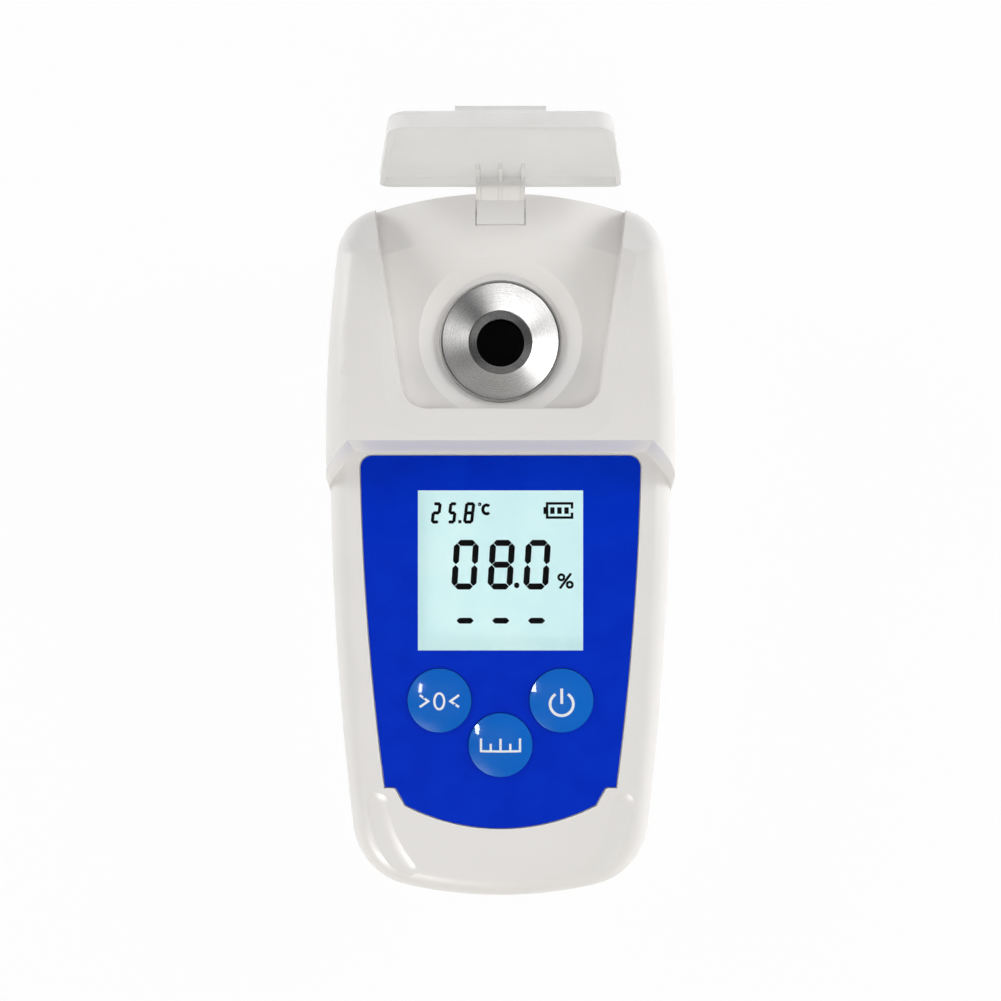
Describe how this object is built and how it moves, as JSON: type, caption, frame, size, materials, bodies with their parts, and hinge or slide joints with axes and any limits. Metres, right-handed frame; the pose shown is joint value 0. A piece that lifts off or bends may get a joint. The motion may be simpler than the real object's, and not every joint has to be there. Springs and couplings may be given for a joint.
{
  "type": "digital refractometer",
  "caption": "Pocket digital refractometer with a hinged sample lid, a steel sample well, a display and three keys.",
  "frame": {"origin": "on the flat back, about its middle", "axes": "+Z out of the face, +Y towards the lid's end, +X to the right of the display"},
  "size_m": [0.055, 0.1163, 0.0488],
  "materials": {
    "white_shell": "satin moulded ABS",
    "rubber_black": "matte",
    "screw_steel": "plated",
    "blue_film": "smooth polyester film",
    "clear_window": "clear acrylic",
    "key_blue": "glossy",
    "turned_steel": "turned",
    "prism_glass": "polished",
    "black_plastic": "matte",
    "lamp_resin": "clear resin",
    "lens_glass": "polished",
    "board_green": "solder mask",
    "ribbon_film": "film",
    "probe_bead": "bead",
    "frosted_lid": "frosted translucent",
    "pin_steel": "drawn",
    "cell_jacket": "printed jacket left plain",
    "contact_metal": "nickel plated",
    "display_glass": "display",
    "backlight_plastic": "diffuser"
  },
  "bodies": {
    "housing": {"front_housing": "white_shell", "rear_housing": "white_shell", "case_gasket": "rubber_black", "case_screws": "screw_steel", "front_overlay": "blue_film", "lcd_window": "clear_window", "sample_ring": "turned_steel", "prism": "prism_glass", "prism_seal": "rubber_black", "ring_seal": "rubber_black", "optical_block": "black_plastic", "block_screws": "screw_steel", "lamp": "lamp_resin", "collimating_lens": "lens_glass", "lamp_board": "board_green", "sensor_board": "board_green", "lamp_ribbon": "ribbon_film", "sensor_ribbon": "ribbon_film", "ribbon_sockets": "black_plastic", "line_sensor": "black_plastic", "temperature_probe": "probe_bead", "hinge_pin": "pin_steel", "battery_cell": "cell_jacket", "positive_contact": "contact_metal", "spring_plate": "contact_metal", "contact_spring": "contact_metal", "main_board": "board_green", "board_screws": "screw_steel", "controller_chip": "black_plastic", "display_glass": "display_glass", "backlight": "backlight_plastic", "display_strips": "rubber_black", "zero_switch": "black_plastic", "measure_switch": "black_plastic", "power_switch": "black_plastic"},
    "lid": {"lid": "frosted_lid"},
    "battery_cover": {"battery_cover": "white_shell"},
    "zero_key": {"zero_key": "key_blue"},
    "measure_key": {"measure_key": "key_blue"},
    "power_key": {"power_key": "key_blue"}
  },
  "joints": [
    {"name": "lid_hinge", "type": "hinge", "parent": "housing", "child": "lid", "pos_m": [0, 0.054, 0.01694], "axis": [1, 0, 0], "range_deg": [0, 90]},
    {"name": "battery_cover_slide", "type": "slide", "parent": "housing", "child": "battery_cover", "axis": [0, -1, 0], "range_m": [0, 0.05]},
    {"name": "zero_key_press", "type": "slide", "parent": "housing", "child": "zero_key", "axis": [0, 0, -1], "range_m": [0, 0.00035], "stiffness_N_per_m": 1500},
    {"name": "measure_key_press", "type": "slide", "parent": "housing", "child": "measure_key", "axis": [0, 0, -1], "range_m": [0, 0.00035], "stiffness_N_per_m": 1500},
    {"name": "power_key_press", "type": "slide", "parent": "housing", "child": "power_key", "axis": [0, 0, -1], "range_m": [0, 0.00035], "stiffness_N_per_m": 1500}
  ]
}
